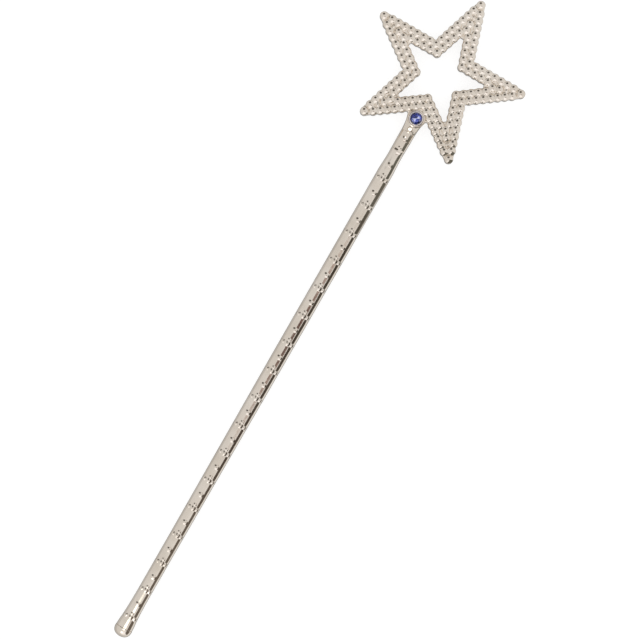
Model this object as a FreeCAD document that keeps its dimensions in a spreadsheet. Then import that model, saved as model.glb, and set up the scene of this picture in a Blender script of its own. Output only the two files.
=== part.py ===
import FreeCAD, Part
import math
import os
import Sketcher

# Star-topped toy wand, moulded in metallised plastic.
#
# Working frame of every piece: X across, Y along the shaft towards the star's
# top point, Z out of the star's front face, origin at the centre of the star on
# the parting plane of the mouldings. Each finished piece is then placed so that
# the wand lies on its back on Z = 0 with the middle of its length at Y = 0.

doc = FreeCAD.newDocument("wand")

# ---------------------------------------------------------------- dimensions
ROWS = [
    # whole wand
    ("star_top", 42.9, "star centre to the outside of the top point"),
    ("wand_foot", 316.9, "star centre to the end of the pommel"),
    ("axis_height", 4.5, "shaft axis above the surface it lies on"),
    # star plate, one moulding half
    ("plate_height", 2.6, "parting plane to the plate's face"),
    ("tip_bead_radius", 2.2, "bead on each point"),
    ("tip_half_width", 2.15, "half width of the plate at the tip bead"),
    ("outer_notch", 18.4, "star centre to the outer notch"),
    ("hole_notch", 9.8, "star centre to the corner of the opening"),
    ("hole_tip", 22.0, "star centre to the end of the opening's point"),
    ("hole_tip_half", 0.9, "half width of that end"),
    # beads of the star
    ("bead_radius", 2.2, "radius of a bead"),
    ("bead_rise", 1.15, "height of a bead's dome above the plate"),
    ("bead_skirt", 0.12, "beads start this far above the parting plane"),
    ("small_bead_radius", 1.05, "small filler bead near each point"),
    ("outer_first_x", 1.75, "first bead of the outer row, across"),
    ("outer_first_y", 36.7, "first bead of the outer row, along"),
    ("outer_last", 16.15, "star centre to the bead in the outer notch"),
    ("inner_last", 11.95, "star centre to the bead at the opening's corner"),
    # cored out middle of the limbs
    ("core_depth", 1.4, "depth of the hollow from the parting plane"),
    ("core_outer_notch", 15.39, "outer corner of the hollow"),
    ("core_inner_notch", 12.29, "inner corner of the hollow"),
    ("core_top", 30.0, "end of the hollow towards the point"),
    ("core_top_out", 3.46, "outer edge there"),
    ("core_top_in", 0.84, "inner edge there"),
    # locating pins between the two star halves
    ("pin_radius", 0.8, "locating pin"),
    ("pin_socket", 0.85, "its socket"),
    ("pin_height", 1.4, "pin above the parting plane"),
    ("pin_circle", 35.0, "star centre to a pin"),
    # neck, where the star takes the shaft and the gem
    ("neck_half", 4.8, "half width beside the gem"),
    ("neck_end_half", 3.68, "half width where the shaft starts"),
    ("neck_end", 31.2, "star centre to the end of the neck"),
    ("neck_taper", 26.0, "where the neck starts to narrow"),
    ("neck_crest", 3.95, "radius of the neck's rounded back at its highest"),
    ("neck_end_radius", 3.62, "radius of the neck's rounded back at its end"),
    ("gem_y", 23.6, "star centre to the gem"),
    ("boss_radius", 4.3, "raised rim round the gem's cup"),
    ("boss_height", 3.6, "its height above the parting plane"),
    ("seat_radius", 3.65, "bore for the cup"),
    ("seat_floor", 2.95, "bottom of that bore"),
    ("pad_radius", 4.5, "flat pad on the back behind the gem"),
    ("pad_height", 3.75, "its height from the parting plane"),
    ("socket_radius", 2.25, "bore that takes the shaft's tenon"),
    ("socket_end", 24.0, "star centre to the end of that bore"),
    # cup and gem
    ("cup_radius", 3.6, "outside of the cup"),
    ("cup_inside", 3.05, "inside of the cup"),
    ("cup_floor", 3.33, "top of the cup's floor"),
    ("cup_top", 3.92, "top of the cup's wall"),
    ("claw_radius", 0.34, "one claw"),
    ("claw_circle", 3.27, "circle of the claws"),
    ("claw_top", 4.32, "top of the claws"),
    ("gem_radius", 2.9, "gem at its girdle"),
    ("gem_table", 1.6, "radius of the gem's table"),
    ("gem_height", 1.45, "gem's thickness"),
    ("gem_girdle", 0.5, "height of the girdle's top edge"),
    # shaft
    ("rod_radius", 3.56, "shaft at its slim lower end, and in its first stretch"),
    ("upper_radius", 3.92, "shaft in its thick upper part"),
    ("upper_step", 47.3, "star centre to the step up to that part"),
    ("upper_start", 48.5, "star centre to the top of the step"),
    ("upper_end", 158.0, "where the thick part begins to taper"),
    ("taper_end", 264.0, "where the taper ends"),
    ("rod_bore", 1.9, "hollow in the shaft"),
    ("rod_start", 31.25, "star centre to the shaft's shoulder"),
    ("rod_end", 312.1, "star centre to the shaft's lower end"),
    ("tenon_radius", 2.2, "tenon in the neck"),
    ("tenon_end", 24.2, "star centre to the tenon's end"),
    ("bore_start", 36.0, "star centre to the start of the hollow"),
    ("flare_start", 291.0, "where the shaft begins to widen"),
    ("flare_mid", 303.5, "half way down the flare"),
    ("flare_mid_radius", 3.8, "radius there"),
    ("pommel_radius", 4.5, "pommel at its widest"),
    # beads of the shaft
    ("ring_first", 42.1, "star centre to the first bead ring"),
    ("ring_pitch", 15.54, "from ring to ring"),
    ("ring_last", 306.0, "star centre to the last bead ring"),
    ("ring_bead", 0.97, "bead of a ring"),
    ("ring_rise", 0.46, "its height"),
    ("crown_bead", 0.8, "small bead above each ring"),
    ("crown_rise", 0.38, "its height"),
    ("crown_step", 1.95, "from the ring to that bead"),
    ("mid_bead", 1.4, "single bead between rings"),
    ("mid_rise", 0.46, "its height"),
    ("mid_first", 35.1, "star centre to the single bead nearest the star"),
    # pommel cap
    ("cap_start", 312.2, "star centre to the cap's edge"),
    ("cap_spring", 313.6, "where its rounded end begins"),
    ("spigot_radius", 1.85, "spigot in the shaft's hollow"),
    ("spigot_length", 9.0, "its length"),
]
sheet = doc.addObject("Spreadsheet::Sheet", "dims")
VALUE = {}
for i, (alias, value, note) in enumerate(ROWS, start=1):
    sheet.set("A%d" % i, note)
    sheet.set("B%d" % i, repr(float(value)))
    sheet.setAlias("B%d" % i, alias)
    VALUE[alias] = float(value)
doc.recompute()


def v(alias):
    """A dimension, read back from the sheet."""
    return float(getattr(sheet, alias))


STAR_Y = (v("wand_foot") - v("star_top")) / 2.0


# ------------------------------------------------------------------- helpers
def plane(body, role):
    return next(f for f in body.Origin.OriginFeatures if f.Role == role)


def sketch_on(body, name, role="XY_Plane"):
    sk = body.newObject("Sketcher::SketchObject", name)
    sk.AttachmentSupport = [(plane(body, role), "")]
    sk.MapMode = "FlatFace"
    return sk


def polygon(sk, points, tag):
    """Closed polygon. Each point is (x, x expression, y, y expression)."""
    n = len(points)
    first = sk.GeometryCount
    for i in range(n):
        a, b = points[i], points[(i + 1) % n]
        sk.addGeometry(
            Part.LineSegment(
                FreeCAD.Vector(a[0], a[2], 0), FreeCAD.Vector(b[0], b[2], 0)
            ),
            False,
        )
    for i in range(n):
        sk.addConstraint(
            Sketcher.Constraint("Coincident", first + i, 2, first + (i + 1) % n, 1)
        )
    for i, (x, ex, y, ey) in enumerate(points):
        for axis, value, expr in (("X", x, ex), ("Y", y, ey)):
            if expr is None:
                # on the other axis
                sk.addConstraint(
                    Sketcher.Constraint(
                        "PointOnObject", first + i, 1, -2 if axis == "X" else -1
                    )
                )
                continue
            c = sk.addConstraint(
                Sketcher.Constraint("Distance" + axis, -1, 1, first + i, 1, value)
            )
            name = "%s%d%s" % (tag, i, axis.lower())
            sk.renameConstraint(c, name)
            sk.setExpression("Constraints." + name, expr)


def circle(sk, name, radius, expr, cx=0.0, ex=None, cy=0.0, ey=None):
    g = sk.addGeometry(
        Part.Circle(FreeCAD.Vector(cx, cy, 0), FreeCAD.Vector(0, 0, 1), radius), False
    )
    c = sk.addConstraint(Sketcher.Constraint("Radius", g, radius))
    sk.renameConstraint(c, name + "_r")
    sk.setExpression("Constraints." + name + "_r", expr)
    for axis, value, e in (("X", cx, ex), ("Y", cy, ey)):
        if e is None:
            sk.addConstraint(
                Sketcher.Constraint("PointOnObject", g, 3, -2 if axis == "X" else -1)
            )
        else:
            c = sk.addConstraint(
                Sketcher.Constraint("Distance" + axis, -1, 1, g, 3, value)
            )
            sk.renameConstraint(c, name + axis)
            sk.setExpression("Constraints." + name + axis, e)
    return g


def pad(body, sk, name, length, expr):
    p = body.newObject("PartDesign::Pad", name)
    p.Profile = sk
    p.Length = length
    p.setExpression("Length", expr)
    return p


def revolve(body, sk, name, angle, axis="V_Axis", reverse=False):
    r = body.newObject("PartDesign::Revolution", name)
    r.Profile = sk
    r.ReferenceAxis = (sk, [axis])
    r.Angle = angle
    r.Reversed = reverse
    return r


def pattern(body, feature, name, count):
    p = body.newObject("PartDesign::PolarPattern", name)
    p.Originals = [feature]
    p.Axis = (plane(body, "Z_Axis"), [""])
    p.Angle = 360
    p.Occurrences = count
    body.Tip = p
    return p


def make_body(label):
    b = doc.addObject("PartDesign::Body", label)
    b.Label = label
    return b


S36, C36 = math.sin(math.radians(36)), math.cos(math.radians(36))


def on_notch(alias, side=1):
    """A corner on the line between two arms, as a polygon point."""
    r = v(alias)
    return (
        side * r * S36,
        "%sdims.%s * sin(36)" % ("-" if side < 0 else "", alias),
        r * C36,
        "dims.%s * cos(36)" % alias,
    )


def at(ax, ay, side=1, ysign=1):
    """A polygon point from two cells."""
    return (
        side * v(ax),
        "%sdims.%s" % ("-" if side < 0 else "", ax),
        ysign * v(ay),
        "%sdims.%s" % ("-" if ysign < 0 else "", ay),
    )


def shift(shape, x=0.0, y=0.0, z=0.0):
    s = shape.copy()
    s.translate(FreeCAD.Vector(x, y, z))
    return s


# ------------------------------------------------- one half of the star, plain
star = make_body("star_half_plate")
sk = sketch_on(star, "arm_outline")
tip_y = v("star_top") - v("tip_bead_radius")
tip_e = "dims.star_top - dims.tip_bead_radius"
polygon(
    sk,
    [
        (v("tip_half_width"), "dims.tip_half_width", tip_y, tip_e),
        on_notch("outer_notch"),
        on_notch("hole_notch"),
        at("hole_tip_half", "hole_tip"),
        at("hole_tip_half", "hole_tip", -1),
        on_notch("hole_notch", -1),
        on_notch("outer_notch", -1),
        (-v("tip_half_width"), "-dims.tip_half_width", tip_y, tip_e),
    ],
    "arm",
)
arm = pad(star, sk, "arm", v("plate_height"), "dims.plate_height")
doc.recompute()
pattern(star, arm, "arms", 5)
doc.recompute()

# neck plate, with a hollow corner up to each lower limb
sk = sketch_on(star, "neck_outline")
n_h, n_t, n_e = v("neck_half"), v("neck_taper"), v("neck_end")
polygon(
    sk,
    [
        (7.3, "dims.neck_half + 2.4", -21.2, "-(dims.outer_notch + 2.8)"),
        (5.85, "dims.neck_half + 0.95", -22.0, "-(dims.outer_notch + 3.6)"),
        (5.1, "dims.neck_half + 0.2", -23.2, "-(dims.outer_notch + 4.8)"),
        (n_h, "dims.neck_half", -24.6, "-(dims.outer_notch + 6.2)"),
        (4.4, "dims.neck_half - 0.4", -n_t, "-dims.neck_taper"),
        (3.9, "dims.neck_end_half + 0.22", -28.4, "-(dims.neck_end - 2.8)"),
        (v("neck_end_half"), "dims.neck_end_half", -n_e, "-dims.neck_end"),
        (-v("neck_end_half"), "-dims.neck_end_half", -n_e, "-dims.neck_end"),
        (-3.9, "-(dims.neck_end_half + 0.22)", -28.4, "-(dims.neck_end - 2.8)"),
        (-4.4, "-(dims.neck_half - 0.4)", -n_t, "-dims.neck_taper"),
        (-n_h, "-dims.neck_half", -24.6, "-(dims.outer_notch + 6.2)"),
        (-5.1, "-(dims.neck_half + 0.2)", -23.2, "-(dims.outer_notch + 4.8)"),
        (-5.85, "-(dims.neck_half + 0.95)", -22.0, "-(dims.outer_notch + 3.6)"),
        (-7.3, "-(dims.neck_half + 2.4)", -21.2, "-(dims.outer_notch + 2.8)"),
        (0.0, None, -16.6, "-(dims.outer_notch - 1.8)"),
    ],
    "neck",
)
pad(star, sk, "neck_plate", v("plate_height"), "dims.plate_height")
doc.recompute()

# rounded back of the neck, which becomes the socket for the shaft
sk = sketch_on(star, "neck_round")
polygon(
    sk,
    [
        (0.0, None, -20.6, "-(dims.gem_y - 3.0)"),
        (3.2, "dims.neck_crest - 0.75", -20.6, "-(dims.gem_y - 3.0)"),
        (v("neck_crest"), "dims.neck_crest", -n_t, "-dims.neck_taper"),
        (3.8, "dims.neck_crest - 0.15", -28.4, "-(dims.neck_end - 2.8)"),
        (v("neck_end_radius"), "dims.neck_end_radius", -n_e, "-dims.neck_end"),
        (0.0, None, -n_e, "-dims.neck_end"),
    ],
    "round",
)
revolve(star, sk, "neck_back", 180, reverse=True)
doc.recompute()
if star.Shape.BoundBox.ZMin < -0.01:
    raise RuntimeError("the neck's round is on the wrong side of the parting plane")

# ------------------------------------------------------ beads of one star half
first = FreeCAD.Vector(v("outer_first_x"), v("outer_first_y"), 0)
last = FreeCAD.Vector(v("outer_last") * S36, v("outer_last") * C36, 0)
OUTER = [first + (last - first) * (i / 7.0) for i in range(8)]
inner_first = FreeCAD.Vector(2.40, 23.70, 0)
inner_last = FreeCAD.Vector(v("inner_last") * S36, v("inner_last") * C36, 0)
INNER = [inner_first + (inner_last - inner_first) * (i / 4.0) for i in range(4)]
MIDDLE = [FreeCAD.Vector(0, 26.5, 0), FreeCAD.Vector(0, 30.0, 0)]
FILLER = FreeCAD.Vector(0, 33.5, 0)


def bead(radius, rise, low, top):
    """A domed bead on a short round column, as the mould makes it."""
    c = top + rise - (radius**2 + rise**2) / (2 * rise)
    big = top + rise - c
    mid = FreeCAD.Vector(
        big * math.sin(math.asin(radius / big) / 2),
        0,
        c + big * math.cos(math.asin(radius / big) / 2),
    )
    p = [
        FreeCAD.Vector(0, 0, low),
        FreeCAD.Vector(radius, 0, low),
        FreeCAD.Vector(radius, 0, top),
        FreeCAD.Vector(0, 0, top + rise),
    ]
    wire = Part.Wire(
        [
            Part.LineSegment(p[0], p[1]).toShape(),
            Part.LineSegment(p[1], p[2]).toShape(),
            Part.Arc(p[2], mid, p[3]).toShape(),
            Part.LineSegment(p[3], p[0]).toShape(),
        ]
    )
    return Part.Face(wire).revolve(
        FreeCAD.Vector(0, 0, 0), FreeCAD.Vector(0, 0, 1), 360
    )


def star_beads():
    low, top = v("bead_skirt"), v("plate_height")
    plain = bead(v("bead_radius"), v("bead_rise"), low, top)
    small = bead(v("small_bead_radius"), v("bead_rise") * 0.62, low, top)
    tip = bead(v("tip_bead_radius"), v("bead_rise"), low, top)
    out = []
    for k in range(5):
        spots = []
        for p in OUTER[:7] + INNER:
            spots += [(plain, p.x, p.y), (plain, -p.x, p.y)]
        spots += [(plain, p.x, p.y) for p in MIDDLE]
        spots.append((small, FILLER.x, FILLER.y))
        spots.append((tip, 0.0, v("star_top") - v("tip_bead_radius")))
        spots.append((plain, v("outer_last") * S36, v("outer_last") * C36))
        spots.append((plain, inner_last.x, inner_last.y))
        for shape, x, y in spots:
            s = shift(shape, x, y)
            s.rotate(FreeCAD.Vector(0, 0, 0), FreeCAD.Vector(0, 0, 1), 72 * k)
            out.append(s)
    return out


def bead_on_rod(angle, y, radius, rise, rod, depth=0.42):
    """A low dome standing on a round shaft along Y, at an angle from +X."""
    s = bead(radius, rise, rod - depth, rod)
    s.rotate(FreeCAD.Vector(0, 0, 0), FreeCAD.Vector(0, 1, 0), 90 - angle)
    return shift(s, 0, y, 0)


beads = doc.addObject("Part::Feature", "star_bead_field")
# neighbouring beads run into one another
grown = star_beads()
beads.Shape = grown[0].multiFuse(grown[1:])

half = doc.addObject("Part::Fuse", "star_half")
half.Base, half.Tool = star, beads
doc.recompute()

# --------------------------------------------- what is cut out of the star halves
core = make_body("star_core")
sk = sketch_on(core, "core_outline")
for side, tag in ((1, "cr"), (-1, "cl")):
    polygon(
        sk,
        [
            at("core_top_out", "core_top", side),
            on_notch("core_outer_notch", side),
            on_notch("core_inner_notch", side),
            at("core_top_in", "core_top", side),
        ],
        tag,
    )
core_pad = pad(core, sk, "core_arm", v("core_depth"), "dims.core_depth")
doc.recompute()
pattern(core, core_pad, "core_arms", 5)
doc.recompute()


def cylinder(name, radius, height, place, r_expr, h_expr):
    c = doc.addObject("Part::Cylinder", name)
    c.setExpression("Radius", r_expr)
    c.setExpression("Height", h_expr)
    c.Radius, c.Height = radius, height
    c.Placement = place
    return c


ALONG_Y = FreeCAD.Rotation(FreeCAD.Vector(1, 0, 0), -90)
socket_bore = cylinder(
    "socket_bore",
    v("socket_radius"),
    v("neck_end") - v("socket_end") + 1,
    FreeCAD.Placement(FreeCAD.Vector(0, -v("neck_end") - 1, 0), ALONG_Y),
    "dims.socket_radius",
    "dims.neck_end - dims.socket_end + 1",
)
boss = cylinder(
    "boss",
    v("boss_radius"),
    v("boss_height") - 0.4,
    FreeCAD.Placement(FreeCAD.Vector(0, -v("gem_y"), 0.4), FreeCAD.Rotation()),
    "dims.boss_radius",
    "dims.boss_height - 0.4",
)
seat_bore = cylinder(
    "seat_bore",
    v("seat_radius"),
    5.0,
    FreeCAD.Placement(
        FreeCAD.Vector(0, -v("gem_y"), v("seat_floor")), FreeCAD.Rotation()
    ),
    "dims.seat_radius",
    "dims.gem_height + 3.5",
)
pad_boss = cylinder(
    "back_pad",
    v("pad_radius"),
    v("pad_height") - 0.4,
    FreeCAD.Placement(
        FreeCAD.Vector(0, -v("gem_y"), -v("pad_height")), FreeCAD.Rotation()
    ),
    "dims.pad_radius",
    "dims.pad_height - 0.4",
)
pad_clear = cylinder(
    "back_pad_clearance",
    v("pad_radius"),
    4.0,
    FreeCAD.Placement(
        FreeCAD.Vector(0, -v("gem_y"), -v("pad_height") - 4.0), FreeCAD.Rotation()
    ),
    "dims.pad_radius",
    "dims.gem_height + 2.5",
)
pins, sockets = [], []
for k in range(5):
    a = math.radians(90 + 72 * k)
    x, y = v("pin_circle") * math.cos(a), v("pin_circle") * math.sin(a)
    pins.append(
        cylinder(
            "pin_%d" % k,
            v("pin_radius"),
            v("pin_height") + 0.6,
            FreeCAD.Placement(FreeCAD.Vector(x, y, -0.6), FreeCAD.Rotation()),
            "dims.pin_radius",
            "dims.pin_height + 0.6",
        )
    )
    sockets.append(
        cylinder(
            "pin_socket_%d" % k,
            v("pin_socket"),
            v("pin_height") + 1.2,
            FreeCAD.Placement(FreeCAD.Vector(x, y, -1.0), FreeCAD.Rotation()),
            "dims.pin_socket",
            "dims.pin_height + 1.2",
        )
    )
doc.recompute()

# front of the star
front_cuts = doc.addObject("Part::MultiFuse", "front_cuts")
front_cuts.Shapes = [core, socket_bore, seat_bore] + sockets
neck_bead = doc.addObject("Part::Feature", "neck_bead")
neck_bead.Shape = bead_on_rod(
    90, -(v("neck_end") - 1.4), 1.2, 0.55, v("neck_crest") - 0.25
)
front_solid = doc.addObject("Part::MultiFuse", "front_solid")
front_solid.Shapes = [half, boss, neck_bead]
star_front = doc.addObject("Part::Cut", "star_front_shell")
star_front.Base, star_front.Tool = front_solid, front_cuts

# back of the star: the same half turned over
back_half = doc.addObject("Part::Mirroring", "star_half_back")
back_half.Source = half
back_half.Base, back_half.Normal = (
    FreeCAD.Vector(0, 0, 0),
    FreeCAD.Vector(0, 0, 1),
)
back_core = doc.addObject("Part::Mirroring", "star_core_back")
back_core.Source = core
back_core.Base, back_core.Normal = (
    FreeCAD.Vector(0, 0, 0),
    FreeCAD.Vector(0, 0, 1),
)
back_cuts = doc.addObject("Part::MultiFuse", "back_cuts")
back_cuts.Shapes = [back_core, socket_bore, pad_clear]
back_solid = doc.addObject("Part::MultiFuse", "back_solid")
back_solid.Shapes = [back_half, pad_boss]
back_cored = doc.addObject("Part::Cut", "back_cored")
back_cored.Base, back_cored.Tool = back_solid, back_cuts
star_back = doc.addObject("Part::MultiFuse", "star_back_shell")
star_back.Shapes = [back_cored] + pins
doc.recompute()

# ---------------------------------------------------------- one half of the shaft
rod = make_body("rod_half_plain")
sk = sketch_on(rod, "rod_profile")
polygon(
    sk,
    [
        (0.0, None, -v("tenon_end"), "-dims.tenon_end"),
        at("tenon_radius", "tenon_end", 1, -1),
        at("tenon_radius", "rod_start", 1, -1),
        at("rod_radius", "rod_start", 1, -1),
        at("rod_radius", "upper_step", 1, -1),
        at("upper_radius", "upper_start", 1, -1),
        at("upper_radius", "upper_end", 1, -1),
        at("rod_radius", "taper_end", 1, -1),
        at("rod_radius", "flare_start", 1, -1),
        (3.62, "dims.rod_radius + 0.06", -297.5, "-(dims.flare_start + 6.5)"),
        at("flare_mid_radius", "flare_mid", 1, -1),
        (4.04, "dims.flare_mid_radius + 0.24", -307.3, "-(dims.flare_mid + 3.8)"),
        (4.32, "dims.pommel_radius - 0.18", -310.2, "-(dims.rod_end - 1.9)"),
        (4.44, "dims.pommel_radius - 0.06", -v("rod_end"), "-dims.rod_end"),
        (0.0, None, -v("rod_end"), "-dims.rod_end"),
    ],
    "rod",
)
revolve(rod, sk, "rod_round", 180, reverse=True)
doc.recompute()
if rod.Shape.BoundBox.ZMin < -0.01:
    raise RuntimeError("the shaft's half is on the wrong side of the parting plane")


def rod_surface(y):
    """Radius of the shaft at a distance y below the star's centre."""
    marks = [
        (0.0, v("rod_radius")),
        (v("upper_step"), v("rod_radius")),
        (v("upper_start"), v("upper_radius")),
        (v("upper_end"), v("upper_radius")),
        (v("taper_end"), v("rod_radius")),
        (v("flare_start"), v("rod_radius")),
        (v("flare_start") + 6.5, v("rod_radius") + 0.06),
        (v("flare_mid"), v("flare_mid_radius")),
        (v("flare_mid") + 3.8, v("flare_mid_radius") + 0.24),
        (v("rod_end"), v("pommel_radius") - 0.06),
    ]
    for (y0, r0), (y1, r1) in zip(marks, marks[1:]):
        if y <= y1:
            return r0 + (r1 - r0) * (y - y0) / (y1 - y0)
    return marks[-1][1]


RINGS = [v("ring_first") + v("ring_pitch") * i for i in range(17)] + [v("ring_last")]
SINGLES = [v("mid_first")] + [
    (a + b) / 2.0 + 0.25 for a, b in zip(RINGS, RINGS[1:])
]


def rod_beads():
    out = []
    for y in RINGS:
        r = rod_surface(y)
        for angle in (53, 90, 127):
            out.append(bead_on_rod(angle, -y, v("ring_bead"), v("ring_rise"), r))
        out.append(
            bead_on_rod(
                90, -y + v("crown_step"), v("crown_bead"), v("crown_rise"), r
            )
        )
    for y in SINGLES:
        out.append(
            bead_on_rod(90, -y, v("mid_bead"), v("mid_rise"), rod_surface(y), 0.5)
        )
    return out


ring_field = doc.addObject("Part::Feature", "rod_bead_field")
ring_field.Shape = Part.makeCompound(rod_beads())
rod_half = doc.addObject("Part::Fuse", "rod_half")
rod_half.Base, rod_half.Tool = rod, ring_field
bore = cylinder(
    "rod_hollow",
    v("rod_bore"),
    v("rod_end") - v("bore_start") + 5,
    FreeCAD.Placement(FreeCAD.Vector(0, -v("rod_end") - 5, 0), ALONG_Y),
    "dims.rod_bore",
    "dims.rod_end - dims.bore_start + 5",
)
rod_front = doc.addObject("Part::Cut", "rod_front_shell")
rod_front.Base, rod_front.Tool = rod_half, bore
doc.recompute()
rod_half_back = doc.addObject("Part::Mirroring", "rod_half_back")
rod_half_back.Source = rod_half
rod_half_back.Base, rod_half_back.Normal = (
    FreeCAD.Vector(0, 0, 0),
    FreeCAD.Vector(0, 0, 1),
)
rod_back = doc.addObject("Part::Cut", "rod_back_shell")
rod_back.Base, rod_back.Tool = rod_half_back, bore
doc.recompute()

# --------------------------------------------------------------------- pommel cap
cap = make_body("pommel_cap")
sk = sketch_on(cap, "cap_profile")
R = v("pommel_radius")
g0 = sk.GeometryCount
polygon_points = [
    (0.0, -(v("cap_start") - v("spigot_length"))),
    (v("spigot_radius"), -(v("cap_start") - v("spigot_length"))),
    (v("spigot_radius"), -v("cap_start")),
    (R - 0.12, -v("cap_start")),
    (R, -v("cap_start") - 0.25),
    (R, -v("cap_spring")),
]
foot = -v("wand_foot")
for a, b in zip(polygon_points, polygon_points[1:]):
    sk.addGeometry(
        Part.LineSegment(FreeCAD.Vector(a[0], a[1], 0), FreeCAD.Vector(b[0], b[1], 0)),
        False,
    )
arc = sk.addGeometry(
    Part.ArcOfCircle(
        Part.Circle(
            FreeCAD.Vector(0, -v("cap_spring"), 0), FreeCAD.Vector(0, 0, 1), R
        ),
        -math.pi / 2,
        0,
    ),
    False,
)
close = sk.addGeometry(
    Part.LineSegment(
        FreeCAD.Vector(0, foot, 0),
        FreeCAD.Vector(0, polygon_points[0][1], 0),
    ),
    False,
)
for i in range(4):
    sk.addConstraint(Sketcher.Constraint("Coincident", i, 2, i + 1, 1))
sk.addConstraint(Sketcher.Constraint("Coincident", 4, 2, arc, 2))
sk.addConstraint(Sketcher.Constraint("Coincident", arc, 1, close, 1))
sk.addConstraint(Sketcher.Constraint("Coincident", close, 2, 0, 1))
sk.addConstraint(Sketcher.Constraint("PointOnObject", 0, 1, -2))
sk.addConstraint(Sketcher.Constraint("PointOnObject", arc, 1, -2))
sk.addConstraint(Sketcher.Constraint("PointOnObject", arc, 3, -2))
sk.addConstraint(Sketcher.Constraint("Horizontal", 0))
sk.addConstraint(Sketcher.Constraint("Vertical", 1))
sk.addConstraint(Sketcher.Constraint("Horizontal", 2))
sk.addConstraint(Sketcher.Constraint("Vertical", 4))
for name, kind, geo, pos, value, expr in (
    ("spigot_r", "DistanceX", 1, 1, v("spigot_radius"), "dims.spigot_radius"),
    (
        "spigot_top",
        "DistanceY",
        0,
        1,
        polygon_points[0][1],
        "-(dims.cap_start - dims.spigot_length)",
    ),
    ("edge_y", "DistanceY", 2, 2, -v("cap_start"), "-dims.cap_start"),
    ("edge_x", "DistanceX", 2, 2, R - 0.12, "dims.pommel_radius - 0.12"),
    ("lip_y", "DistanceY", 4, 1, -v("cap_start") - 0.25, "-dims.cap_start - 0.25"),
    ("lip_x", "DistanceX", 4, 1, R, "dims.pommel_radius"),
    ("spring_y", "DistanceY", 4, 2, -v("cap_spring"), "-dims.cap_spring"),
    ("foot_y", "DistanceY", arc, 1, foot, "-dims.wand_foot"),
):
    c = sk.addConstraint(Sketcher.Constraint(kind, -1, 1, geo, pos, value))
    sk.renameConstraint(c, name)
    sk.setExpression("Constraints." + name, expr)
revolve(cap, sk, "cap_round", 360)
doc.recompute()

# ------------------------------------------------------------------ cup of the gem
cup = make_body("gem_cup")
sk = sketch_on(cup, "cup_profile", "XZ_Plane")
fl, cf, ct = v("seat_floor"), v("cup_floor"), v("cup_top")
polygon(
    sk,
    [
        (0.0, None, fl + 0.02, "dims.seat_floor + 0.02"),
        (v("cup_radius"), "dims.cup_radius", fl + 0.02, "dims.seat_floor + 0.02"),
        (v("cup_radius"), "dims.cup_radius", ct - 0.25, "dims.cup_top - 0.25"),
        (v("cup_radius") - 0.2, "dims.cup_radius - 0.2", ct, "dims.cup_top"),
        (v("cup_inside"), "dims.cup_inside", ct, "dims.cup_top"),
        (v("cup_inside"), "dims.cup_inside", cf, "dims.cup_floor"),
        (0.0, None, cf, "dims.cup_floor"),
    ],
    "cup",
)
revolve(cup, sk, "cup_round", 360)
doc.recompute()
sk = sketch_on(cup, "claw_outline")
circle(
    sk,
    "claw",
    v("claw_radius"),
    "dims.claw_radius",
    v("claw_circle"),
    "dims.claw_circle",
)
sk.AttachmentOffset = FreeCAD.Placement(
    FreeCAD.Vector(0, 0, v("cup_floor")), FreeCAD.Rotation()
)
sk.setExpression("AttachmentOffset.Base.z", "dims.cup_floor")
claw = pad(cup, sk, "claw", v("claw_top") - v("cup_floor"), "dims.claw_top - dims.cup_floor")
doc.recompute()
pattern(cup, claw, "claws", 8)
doc.recompute()


# -------------------------------------------------------------------------- gem
def cut_gem():
    """Flat-backed brilliant: table, star, kite and girdle facets."""
    r, rt, zt, zg = v("gem_radius"), v("gem_table"), v("gem_height"), v("gem_girdle")
    rm = r * 0.79
    zm = zt + (rm * math.cos(math.radians(22.5)) - rt) / (r - rt) * (zg - zt)

    def ring(radius, z, count, start):
        return [
            FreeCAD.Vector(
                radius * math.cos(math.radians(start + 360.0 / count * i)),
                radius * math.sin(math.radians(start + 360.0 / count * i)),
                z,
            )
            for i in range(count)
        ]

    table = ring(rt, zt, 8, 0)
    mid = ring(rm, zm, 8, 22.5)
    top = ring(r, zg, 16, 0)
    low = ring(r, zg - 0.2, 16, 0)
    back = ring(r - 0.3, 0.0, 16, 0)
    polys = [table, list(reversed(back))]
    for i in range(8):
        j, g = (i + 1) % 8, 2 * i
        polys.append([table[i], mid[i], table[j]])
        polys.append([table[i], mid[i - 1], top[g], mid[i]])
        polys.append([mid[i], top[g], top[(g + 1) % 16]])
        polys.append([mid[i], top[(g + 1) % 16], top[(g + 2) % 16]])
    for i in range(16):
        j = (i + 1) % 16
        polys.append([top[i], low[i], low[j], top[j]])
        polys.append([low[i], back[i], back[j], low[j]])
    faces = [Part.Face(Part.makePolygon(p + [p[0]])) for p in polys]
    solid = Part.Solid(Part.Shell(faces))
    if solid.Volume < 0:
        solid.reverse()
    return solid


gem = doc.addObject("Part::Feature", "gem")
gem.Label = "gem"
gem.Shape = cut_gem()

# ------------------------------------------------------------------- placements
NODES = {
    "star_front_shell": star_front,
    "star_back_shell": star_back,
    "rod_front_shell": rod_front,
    "rod_back_shell": rod_back,
    "pommel_cap": cap,
    "gem_cup": cup,
    "gem": gem,
}
for name, obj in NODES.items():
    obj.Label = name
    y = STAR_Y - (v("gem_y") if name in ("gem_cup", "gem") else 0.0)
    z = v("axis_height") + (v("cup_floor") + 0.02 if name == "gem" else 0.0)
    obj.Placement = FreeCAD.Placement(FreeCAD.Vector(0, y, z), FreeCAD.Rotation())
doc.recompute()

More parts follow.
